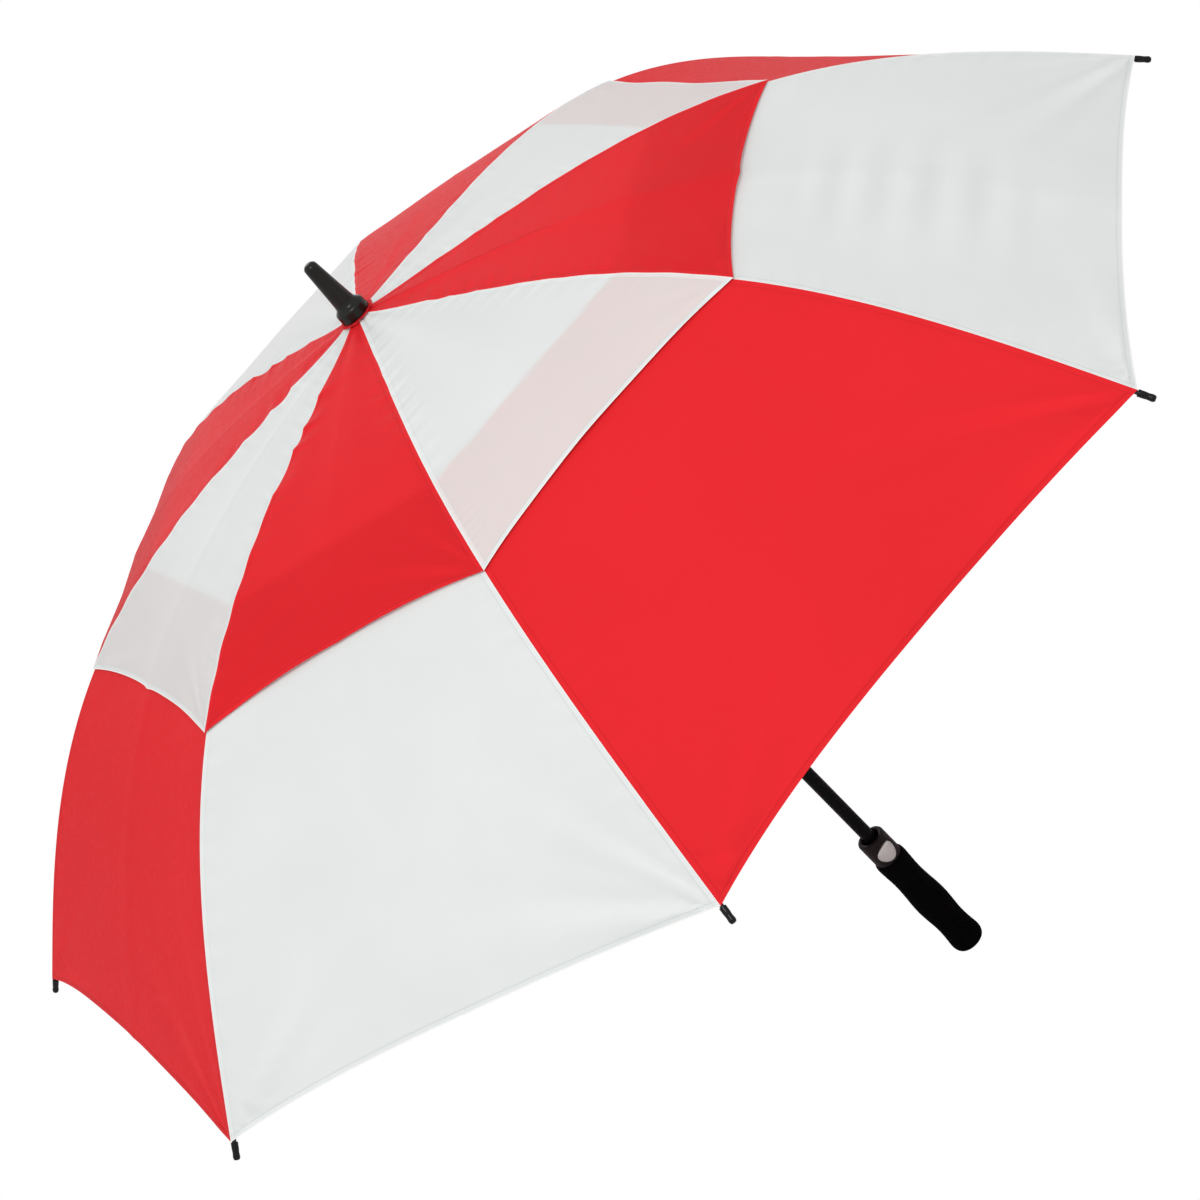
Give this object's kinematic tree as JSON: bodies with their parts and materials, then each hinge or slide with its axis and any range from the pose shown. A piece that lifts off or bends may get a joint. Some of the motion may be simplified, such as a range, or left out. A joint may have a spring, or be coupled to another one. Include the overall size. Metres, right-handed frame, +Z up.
{
  "type": "golf umbrella",
  "caption": "Large vented golf umbrella with a two-layer red and white canopy, folding rib frame, sliding runner and contoured push-button handle.",
  "frame": {"origin": "centre of the flat end of the foam grip", "axes": "+Z up the shaft towards the ferrule; +X along one rib; the release button faces 70 degrees from +X towards -Y"},
  "size_m": [1.3428, 1.3428, 0.989],
  "materials": {
    "shaft_black": "semi-gloss black paint",
    "rib_black": "black fibreglass, satin",
    "cap_black": "glossy black",
    "moulded_black": "matte black moulding",
    "ferrule_black": "semi-gloss black moulding",
    "collar_black": "soft-touch black",
    "foam_black": "matte black foam",
    "button_silver": "satin silver",
    "spring_steel": "bright wire",
    "fabric_red": "matte woven",
    "fabric_white": "matte woven"
  },
  "bodies": {
    "frame_body": {"shaft": "shaft_black", "ferrule": "ferrule_black", "top_notch": "moulded_black", "notch_wire": "spring_steel", "canopy_washer": "fabric_red", "handle_collar": "collar_black", "foam_grip": "foam_black", "button_spring": "spring_steel", "opening_spring": "spring_steel"},
    "runner_body": {"runner": "moulded_black"},
    "button_body": {"push_button": "button_silver"},
    "inner_rib_0_body": {"inner_rib_0": "rib_black"},
    "outer_rib_0_body": {"outer_rib_0": "rib_black", "tip_cap_0": "cap_black"},
    "stretcher_0_body": {"stretcher_0": "rib_black"},
    "upper_gore_0_body": {"upper_gore_0": "fabric_red"},
    "lower_gore_0_body": {"lower_gore_0": "fabric_white"},
    "inner_rib_1_body": {"inner_rib_1": "rib_black"},
    "outer_rib_1_body": {"outer_rib_1": "rib_black", "tip_cap_1": "cap_black"},
    "stretcher_1_body": {"stretcher_1": "rib_black"},
    "upper_gore_1_body": {"upper_gore_1": "fabric_white"},
    "lower_gore_1_body": {"lower_gore_1": "fabric_red"},
    "inner_rib_2_body": {"inner_rib_2": "rib_black"},
    "outer_rib_2_body": {"outer_rib_2": "rib_black", "tip_cap_2": "cap_black"},
    "stretcher_2_body": {"stretcher_2": "rib_black"},
    "upper_gore_2_body": {"upper_gore_2": "fabric_red"},
    "lower_gore_2_body": {"lower_gore_2": "fabric_white"},
    "inner_rib_3_body": {"inner_rib_3": "rib_black"},
    "outer_rib_3_body": {"outer_rib_3": "rib_black", "tip_cap_3": "cap_black"},
    "stretcher_3_body": {"stretcher_3": "rib_black"},
    "upper_gore_3_body": {"upper_gore_3": "fabric_white"},
    "lower_gore_3_body": {"lower_gore_3": "fabric_red"},
    "inner_rib_4_body": {"inner_rib_4": "rib_black"},
    "outer_rib_4_body": {"outer_rib_4": "rib_black", "tip_cap_4": "cap_black"},
    "stretcher_4_body": {"stretcher_4": "rib_black"},
    "upper_gore_4_body": {"upper_gore_4": "fabric_red"},
    "lower_gore_4_body": {"lower_gore_4": "fabric_white"},
    "inner_rib_5_body": {"inner_rib_5": "rib_black"},
    "outer_rib_5_body": {"outer_rib_5": "rib_black", "tip_cap_5": "cap_black"},
    "stretcher_5_body": {"stretcher_5": "rib_black"},
    "upper_gore_5_body": {"upper_gore_5": "fabric_white"},
    "lower_gore_5_body": {"lower_gore_5": "fabric_red", "closure_strap": "fabric_red"},
    "inner_rib_6_body": {"inner_rib_6": "rib_black"},
    "outer_rib_6_body": {"outer_rib_6": "rib_black", "tip_cap_6": "cap_black"},
    "stretcher_6_body": {"stretcher_6": "rib_black"},
    "upper_gore_6_body": {"upper_gore_6": "fabric_red"},
    "lower_gore_6_body": {"lower_gore_6": "fabric_white"},
    "inner_rib_7_body": {"inner_rib_7": "rib_black"},
    "outer_rib_7_body": {"outer_rib_7": "rib_black", "tip_cap_7": "cap_black"},
    "stretcher_7_body": {"stretcher_7": "rib_black"},
    "upper_gore_7_body": {"upper_gore_7": "fabric_white"},
    "lower_gore_7_body": {"lower_gore_7": "fabric_red"}
  },
  "joints": [
    {"name": "runner_slide", "type": "slide", "parent": "frame_body", "child": "runner_body", "axis": [0, 0, -1], "range_m": [0, 0.40466], "stiffness_N_per_m": 60, "springref_m": -0.08, "deforming": ["opening_spring", "upper_gore_0", "lower_gore_0", "upper_gore_1", "lower_gore_1", "upper_gore_2", "lower_gore_2", "upper_gore_3", "lower_gore_3", "upper_gore_4", "lower_gore_4", "upper_gore_5", "lower_gore_5", "upper_gore_6", "lower_gore_6", "upper_gore_7", "lower_gore_7", "closure_strap"]},
    {"name": "button_press", "type": "slide", "parent": "frame_body", "child": "button_body", "axis": [-0.342, 0.9397, 0], "range_m": [0, 0.0012], "stiffness_N_per_m": 900, "springref_m": -0.001, "deforming": ["button_spring"]},
    {"name": "rib_fold_0", "type": "hinge", "parent": "frame_body", "child": "inner_rib_0_body", "pos_m": [0.0125, 0, 0.91904], "axis": [0, 1, 0], "range_deg": [0, 78.32]},
    {"name": "rib_flex_0", "type": "hinge", "parent": "inner_rib_0_body", "child": "outer_rib_0_body", "pos_m": [0.34122, 0, 0.85865], "axis": [0, 1, 0], "range_deg": [-25.64, 0]},
    {"name": "stretcher_fold_0", "type": "hinge", "parent": "inner_rib_0_body", "child": "stretcher_0_body", "pos_m": [0.32938, 0, 0.85504], "axis": [0, 1, 0], "range_deg": [-128.37, 0]},
    {"name": "upper_gore_fold_0", "type": "hinge", "parent": "frame_body", "child": "upper_gore_0_body", "pos_m": [0.01067, -0.00442, 0.91904], "axis": [0.3827, 0.9239, 0], "range_deg": [0, 77.12]},
    {"name": "lower_gore_fold_0", "type": "hinge", "parent": "upper_gore_0_body", "child": "lower_gore_0_body", "pos_m": [0.29125, -0.12064, 0.85865], "axis": [0.3827, 0.9239, 0], "range_deg": [-25.64, 0]},
    {"name": "rib_fold_1", "type": "hinge", "parent": "frame_body", "child": "inner_rib_1_body", "pos_m": [0.00884, -0.00884, 0.91904], "axis": [0.7071, 0.7071, 0], "range_deg": [0, 78.32]},
    {"name": "rib_flex_1", "type": "hinge", "parent": "inner_rib_1_body", "child": "outer_rib_1_body", "pos_m": [0.24128, -0.24128, 0.85865], "axis": [0.7071, 0.7071, 0], "range_deg": [-25.64, 0]},
    {"name": "stretcher_fold_1", "type": "hinge", "parent": "inner_rib_1_body", "child": "stretcher_1_body", "pos_m": [0.23291, -0.23291, 0.85504], "axis": [0.7071, 0.7071, 0], "range_deg": [-128.37, 0]},
    {"name": "upper_gore_fold_1", "type": "hinge", "parent": "frame_body", "child": "upper_gore_1_body", "pos_m": [0.00442, -0.01067, 0.91904], "axis": [0.9239, 0.3827, 0], "range_deg": [0, 77.12]},
    {"name": "lower_gore_fold_1", "type": "hinge", "parent": "upper_gore_1_body", "child": "lower_gore_1_body", "pos_m": [0.12064, -0.29125, 0.85865], "axis": [0.9239, 0.3827, 0], "range_deg": [-25.64, 0]},
    {"name": "rib_fold_2", "type": "hinge", "parent": "frame_body", "child": "inner_rib_2_body", "pos_m": [0, -0.0125, 0.91904], "axis": [1, 0, 0], "range_deg": [0, 78.32]},
    {"name": "rib_flex_2", "type": "hinge", "parent": "inner_rib_2_body", "child": "outer_rib_2_body", "pos_m": [0, -0.34122, 0.85865], "axis": [1, 0, 0], "range_deg": [-25.64, 0]},
    {"name": "stretcher_fold_2", "type": "hinge", "parent": "inner_rib_2_body", "child": "stretcher_2_body", "pos_m": [0, -0.32938, 0.85504], "axis": [1, 0, 0], "range_deg": [-128.37, 0]},
    {"name": "upper_gore_fold_2", "type": "hinge", "parent": "frame_body", "child": "upper_gore_2_body", "pos_m": [-0.00442, -0.01067, 0.91904], "axis": [0.9239, -0.3827, 0], "range_deg": [0, 77.12]},
    {"name": "lower_gore_fold_2", "type": "hinge", "parent": "upper_gore_2_body", "child": "lower_gore_2_body", "pos_m": [-0.12064, -0.29125, 0.85865], "axis": [0.9239, -0.3827, 0], "range_deg": [-25.64, 0]},
    {"name": "rib_fold_3", "type": "hinge", "parent": "frame_body", "child": "inner_rib_3_body", "pos_m": [-0.00884, -0.00884, 0.91904], "axis": [0.7071, -0.7071, 0], "range_deg": [0, 78.32]},
    {"name": "rib_flex_3", "type": "hinge", "parent": "inner_rib_3_body", "child": "outer_rib_3_body", "pos_m": [-0.24128, -0.24128, 0.85865], "axis": [0.7071, -0.7071, 0], "range_deg": [-25.64, 0]},
    {"name": "stretcher_fold_3", "type": "hinge", "parent": "inner_rib_3_body", "child": "stretcher_3_body", "pos_m": [-0.23291, -0.23291, 0.85504], "axis": [0.7071, -0.7071, 0], "range_deg": [-128.37, 0]},
    {"name": "upper_gore_fold_3", "type": "hinge", "parent": "frame_body", "child": "upper_gore_3_body", "pos_m": [-0.01067, -0.00442, 0.91904], "axis": [0.3827, -0.9239, 0], "range_deg": [0, 77.12]},
    {"name": "lower_gore_fold_3", "type": "hinge", "parent": "upper_gore_3_body", "child": "lower_gore_3_body", "pos_m": [-0.29125, -0.12064, 0.85865], "axis": [0.3827, -0.9239, 0], "range_deg": [-25.64, 0]},
    {"name": "rib_fold_4", "type": "hinge", "parent": "frame_body", "child": "inner_rib_4_body", "pos_m": [-0.0125, 0, 0.91904], "axis": [0, -1, 0], "range_deg": [0, 78.32]},
    {"name": "rib_flex_4", "type": "hinge", "parent": "inner_rib_4_body", "child": "outer_rib_4_body", "pos_m": [-0.34122, 0, 0.85865], "axis": [0, -1, 0], "range_deg": [-25.64, 0]},
    {"name": "stretcher_fold_4", "type": "hinge", "parent": "inner_rib_4_body", "child": "stretcher_4_body", "pos_m": [-0.32938, 0, 0.85504], "axis": [0, -1, 0], "range_deg": [-128.37, 0]},
    {"name": "upper_gore_fold_4", "type": "hinge", "parent": "frame_body", "child": "upper_gore_4_body", "pos_m": [-0.01067, 0.00442, 0.91904], "axis": [-0.3827, -0.9239, 0], "range_deg": [0, 77.12]},
    {"name": "lower_gore_fold_4", "type": "hinge", "parent": "upper_gore_4_body", "child": "lower_gore_4_body", "pos_m": [-0.29125, 0.12064, 0.85865], "axis": [-0.3827, -0.9239, 0], "range_deg": [-25.64, 0]},
    {"name": "rib_fold_5", "type": "hinge", "parent": "frame_body", "child": "inner_rib_5_body", "pos_m": [-0.00884, 0.00884, 0.91904], "axis": [-0.7071, -0.7071, 0], "range_deg": [0, 78.32]},
    {"name": "rib_flex_5", "type": "hinge", "parent": "inner_rib_5_body", "child": "outer_rib_5_body", "pos_m": [-0.24128, 0.24128, 0.85865], "axis": [-0.7071, -0.7071, 0], "range_deg": [-25.64, 0]},
    {"name": "stretcher_fold_5", "type": "hinge", "parent": "inner_rib_5_body", "child": "stretcher_5_body", "pos_m": [-0.23291, 0.23291, 0.85504], "axis": [-0.7071, -0.7071, 0], "range_deg": [-128.37, 0]},
    {"name": "upper_gore_fold_5", "type": "hinge", "parent": "frame_body", "child": "upper_gore_5_body", "pos_m": [-0.00442, 0.01067, 0.91904], "axis": [-0.9239, -0.3827, 0], "range_deg": [0, 77.12]},
    {"name": "lower_gore_fold_5", "type": "hinge", "parent": "upper_gore_5_body", "child": "lower_gore_5_body", "pos_m": [-0.12064, 0.29125, 0.85865], "axis": [-0.9239, -0.3827, 0], "range_deg": [-25.64, 0]},
    {"name": "rib_fold_6", "type": "hinge", "parent": "frame_body", "child": "inner_rib_6_body", "pos_m": [0, 0.0125, 0.91904], "axis": [-1, 0, 0], "range_deg": [0, 78.32]},
    {"name": "rib_flex_6", "type": "hinge", "parent": "inner_rib_6_body", "child": "outer_rib_6_body", "pos_m": [0, 0.34122, 0.85865], "axis": [-1, 0, 0], "range_deg": [-25.64, 0]},
    {"name": "stretcher_fold_6", "type": "hinge", "parent": "inner_rib_6_body", "child": "stretcher_6_body", "pos_m": [0, 0.32938, 0.85504], "axis": [-1, 0, 0], "range_deg": [-128.37, 0]},
    {"name": "upper_gore_fold_6", "type": "hinge", "parent": "frame_body", "child": "upper_gore_6_body", "pos_m": [0.00442, 0.01067, 0.91904], "axis": [-0.9239, 0.3827, 0], "range_deg": [0, 77.12]},
    {"name": "lower_gore_fold_6", "type": "hinge", "parent": "upper_gore_6_body", "child": "lower_gore_6_body", "pos_m": [0.12064, 0.29125, 0.85865], "axis": [-0.9239, 0.3827, 0], "range_deg": [-25.64, 0]},
    {"name": "rib_fold_7", "type": "hinge", "parent": "frame_body", "child": "inner_rib_7_body", "pos_m": [0.00884, 0.00884, 0.91904], "axis": [-0.7071, 0.7071, 0], "range_deg": [0, 78.32]},
    {"name": "rib_flex_7", "type": "hinge", "parent": "inner_rib_7_body", "child": "outer_rib_7_body", "pos_m": [0.24128, 0.24128, 0.85865], "axis": [-0.7071, 0.7071, 0], "range_deg": [-25.64, 0]},
    {"name": "stretcher_fold_7", "type": "hinge", "parent": "inner_rib_7_body", "child": "stretcher_7_body", "pos_m": [0.23291, 0.23291, 0.85504], "axis": [-0.7071, 0.7071, 0], "range_deg": [-128.37, 0]},
    {"name": "upper_gore_fold_7", "type": "hinge", "parent": "frame_body", "child": "upper_gore_7_body", "pos_m": [0.01067, 0.00442, 0.91904], "axis": [-0.3827, 0.9239, 0], "range_deg": [0, 77.12]},
    {"name": "lower_gore_fold_7", "type": "hinge", "parent": "upper_gore_7_body", "child": "lower_gore_7_body", "pos_m": [0.29125, 0.12064, 0.85865], "axis": [-0.3827, 0.9239, 0], "range_deg": [-25.64, 0]}
  ],
  "couplings": [
    {"joint": "rib_fold_0", "follows": "runner_slide", "rad_per_m": 3.3778},
    {"joint": "rib_flex_0", "follows": "runner_slide", "rad_per_m": -1.1058},
    {"joint": "stretcher_fold_0", "follows": "runner_slide", "rad_per_m": -5.5368},
    {"joint": "upper_gore_fold_0", "follows": "runner_slide", "rad_per_m": 3.3261},
    {"joint": "lower_gore_fold_0", "follows": "runner_slide", "rad_per_m": -1.1058},
    {"joint": "rib_fold_1", "follows": "runner_slide", "rad_per_m": 3.3778},
    {"joint": "rib_flex_1", "follows": "runner_slide", "rad_per_m": -1.1058},
    {"joint": "stretcher_fold_1", "follows": "runner_slide", "rad_per_m": -5.5368},
    {"joint": "upper_gore_fold_1", "follows": "runner_slide", "rad_per_m": 3.3261},
    {"joint": "lower_gore_fold_1", "follows": "runner_slide", "rad_per_m": -1.1058},
    {"joint": "rib_fold_2", "follows": "runner_slide", "rad_per_m": 3.3778},
    {"joint": "rib_flex_2", "follows": "runner_slide", "rad_per_m": -1.1058},
    {"joint": "stretcher_fold_2", "follows": "runner_slide", "rad_per_m": -5.5368},
    {"joint": "upper_gore_fold_2", "follows": "runner_slide", "rad_per_m": 3.3261},
    {"joint": "lower_gore_fold_2", "follows": "runner_slide", "rad_per_m": -1.1058},
    {"joint": "rib_fold_3", "follows": "runner_slide", "rad_per_m": 3.3778},
    {"joint": "rib_flex_3", "follows": "runner_slide", "rad_per_m": -1.1058},
    {"joint": "stretcher_fold_3", "follows": "runner_slide", "rad_per_m": -5.5368},
    {"joint": "upper_gore_fold_3", "follows": "runner_slide", "rad_per_m": 3.3261},
    {"joint": "lower_gore_fold_3", "follows": "runner_slide", "rad_per_m": -1.1058},
    {"joint": "rib_fold_4", "follows": "runner_slide", "rad_per_m": 3.3778},
    {"joint": "rib_flex_4", "follows": "runner_slide", "rad_per_m": -1.1058},
    {"joint": "stretcher_fold_4", "follows": "runner_slide", "rad_per_m": -5.5368},
    {"joint": "upper_gore_fold_4", "follows": "runner_slide", "rad_per_m": 3.3261},
    {"joint": "lower_gore_fold_4", "follows": "runner_slide", "rad_per_m": -1.1058},
    {"joint": "rib_fold_5", "follows": "runner_slide", "rad_per_m": 3.3778},
    {"joint": "rib_flex_5", "follows": "runner_slide", "rad_per_m": -1.1058},
    {"joint": "stretcher_fold_5", "follows": "runner_slide", "rad_per_m": -5.5368},
    {"joint": "upper_gore_fold_5", "follows": "runner_slide", "rad_per_m": 3.3261},
    {"joint": "lower_gore_fold_5", "follows": "runner_slide", "rad_per_m": -1.1058},
    {"joint": "rib_fold_6", "follows": "runner_slide", "rad_per_m": 3.3778},
    {"joint": "rib_flex_6", "follows": "runner_slide", "rad_per_m": -1.1058},
    {"joint": "stretcher_fold_6", "follows": "runner_slide", "rad_per_m": -5.5368},
    {"joint": "upper_gore_fold_6", "follows": "runner_slide", "rad_per_m": 3.3261},
    {"joint": "lower_gore_fold_6", "follows": "runner_slide", "rad_per_m": -1.1058},
    {"joint": "rib_fold_7", "follows": "runner_slide", "rad_per_m": 3.3778},
    {"joint": "rib_flex_7", "follows": "runner_slide", "rad_per_m": -1.1058},
    {"joint": "stretcher_fold_7", "follows": "runner_slide", "rad_per_m": -5.5368},
    {"joint": "upper_gore_fold_7", "follows": "runner_slide", "rad_per_m": 3.3261},
    {"joint": "lower_gore_fold_7", "follows": "runner_slide", "rad_per_m": -1.1058}
  ]
}
